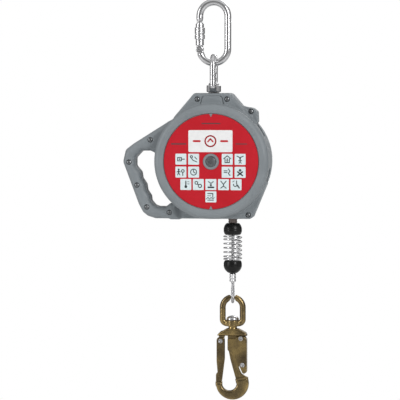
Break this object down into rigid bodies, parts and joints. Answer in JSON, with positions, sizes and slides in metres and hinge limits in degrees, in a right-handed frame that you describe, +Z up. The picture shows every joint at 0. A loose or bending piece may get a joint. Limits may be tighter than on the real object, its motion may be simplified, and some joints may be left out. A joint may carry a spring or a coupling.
{
  "type": "self retracting lifeline",
  "caption": "Retracting wire lifeline in a round two-part casing with a carrying handle, a carabiner above and a swivel snap hook below.",
  "frame": {"origin": "where the inside of the carabiner's crown bears on the anchor it hangs from", "axes": "+Z up the line of pull, -Y the labelled front, +X away from the carrying handle"},
  "size_m": [0.239, 0.088, 0.6485],
  "materials": {
    "steel": "polished",
    "plated_steel": "zinc plated",
    "casing": "moulded, fine texture",
    "label": "printed film",
    "dark_plastic": "plain",
    "bronze": "sintered",
    "alloy": "as cast",
    "wire_rope": "galvanised strands",
    "friction": "brake lining",
    "guide_plastic": "moulded",
    "rubber": "satin",
    "yellow_zinc": "yellow zinc plated"
  },
  "bodies": {
    "carabiner": {"carabiner_body": "steel", "carabiner_gate_pin": "steel"},
    "carabiner_gate": {"carabiner_gate": "steel"},
    "carabiner_sleeve": {"carabiner_sleeve": "steel"},
    "eye": {"swivel_eye": "steel"},
    "casing": {"swivel_stud": "steel", "swivel_washer": "dark_plastic", "front_cover": "casing", "rear_cover": "casing", "front_label": "label", "rear_label": "label", "cover_screw_1": "steel", "cover_screw_2": "steel", "cover_screw_3": "steel", "cover_screw_4": "steel", "cover_screw_5": "steel", "cover_screw_6": "steel", "cover_screw_7": "steel", "cover_screw_8": "steel", "cover_screw_9": "steel", "side_clip_upper": "casing", "side_clip_lower": "casing", "frame_plate_front": "plated_steel", "frame_plate_rear": "plated_steel", "anchor_block": "plated_steel", "shaft_bush_front": "bronze", "shaft_bush_rear": "bronze", "ratchet_ring": "plated_steel", "brake_disc_inner": "friction", "brake_disc_outer": "friction", "brake_pressure_plate": "plated_steel", "spring_case": "plated_steel", "power_spring": "steel", "cable_guide": "guide_plastic", "lifeline": "wire_rope"},
    "drum": {"drum": "alloy", "cable_pack": "wire_rope", "drum_shaft": "steel", "shaft_screw_front": "steel", "shaft_screw_rear": "steel", "pawl_carrier": "plated_steel", "pawl_pin_1": "steel", "pawl_pin_2": "steel", "pawl_spring_1": "steel", "pawl_spring_2": "steel"},
    "pawl_1": {"pawl_1": "steel"},
    "pawl_2": {"pawl_2": "steel"},
    "line_end": {"cable_ferrule": "alloy", "cable_eye": "wire_rope", "lower_bumper": "rubber", "bumper_spring": "steel"},
    "upper_bumper": {"upper_bumper": "rubber"},
    "hook_ring": {"hook_ring": "yellow_zinc"},
    "hook": {"hook_stud": "steel", "hook_body": "yellow_zinc", "hook_gate_rivet": "steel", "lever_rivet": "steel"},
    "hook_gate": {"hook_gate": "yellow_zinc"},
    "lock_lever": {"lock_lever": "yellow_zinc", "lever_stop_rivet": "steel"}
  },
  "joints": [
    {"name": "carabiner_gate_hinge", "type": "hinge", "parent": "carabiner", "child": "carabiner_gate", "pos_m": [-0.023, 0, -0.0705], "axis": [0, 1, 0], "range_deg": [0, 24], "stiffness_Nm_per_rad": 0.05, "springref_deg": -28.65},
    {"name": "sleeve_slide", "type": "slide", "parent": "carabiner_gate", "child": "carabiner_sleeve", "axis": [0, 0, 1], "range_m": [0, 0.006]},
    {"name": "eye_swing", "type": "hinge", "parent": "carabiner", "child": "eye", "pos_m": [0, 0, -0.0925], "axis": [1, 0, 0], "range_deg": [-45, 45]},
    {"name": "casing_swivel", "type": "hinge", "parent": "eye", "child": "casing", "pos_m": [0, 0, -0.139], "axis": [0, 0, 1], "continuous": true},
    {"name": "line_payout", "type": "slide", "parent": "casing", "child": "line_end", "axis": [0, 0, -1], "range_m": [0, 0.24], "stiffness_N_per_m": 20, "springref_m": -1, "deforming": ["lifeline"]},
    {"name": "drum_turn", "type": "hinge", "parent": "casing", "child": "drum", "pos_m": [0, 0, -0.25], "axis": [0, 1, 0], "range_deg": [0, 240]},
    {"name": "pawl_1_swing", "type": "hinge", "parent": "drum", "child": "pawl_1", "pos_m": [0.03, 0, -0.25], "axis": [0, 1, 0], "range_deg": [0, 8], "stiffness_Nm_per_rad": 0.02, "springref_deg": -17.19},
    {"name": "pawl_2_swing", "type": "hinge", "parent": "drum", "child": "pawl_2", "pos_m": [-0.03, 0, -0.25], "axis": [0, 1, 0], "range_deg": [0, 8], "stiffness_Nm_per_rad": 0.02, "springref_deg": -17.19},
    {"name": "bumper_travel", "type": "slide", "parent": "line_end", "child": "upper_bumper", "axis": [0, 0, -1], "range_m": [0, 0.015], "stiffness_N_per_m": 1200, "deforming": ["bumper_spring"]},
    {"name": "ring_swing", "type": "hinge", "parent": "line_end", "child": "hook_ring", "pos_m": [0.031, 0, -0.471], "axis": [1, 0, 0], "range_deg": [-60, 60]},
    {"name": "hook_swivel", "type": "hinge", "parent": "hook_ring", "child": "hook", "pos_m": [0.031, 0, -0.518], "axis": [0, 0, 1], "continuous": true},
    {"name": "hook_gate_hinge", "type": "hinge", "parent": "hook", "child": "hook_gate", "pos_m": [0.0116, 0, -0.542], "axis": [0, -1, 0], "range_deg": [0, 19], "stiffness_Nm_per_rad": 0.05, "springref_deg": -28.65},
    {"name": "lock_lever_hinge", "type": "hinge", "parent": "hook", "child": "lock_lever", "pos_m": [0.0443, 0, -0.5375], "axis": [0, 1, 0], "range_deg": [0, 5], "stiffness_Nm_per_rad": 0.1, "springref_deg": -28.65}
  ],
  "couplings": [
    {"joint": "drum_turn", "follows": "line_payout", "rad_per_m": 15.256}
  ]
}
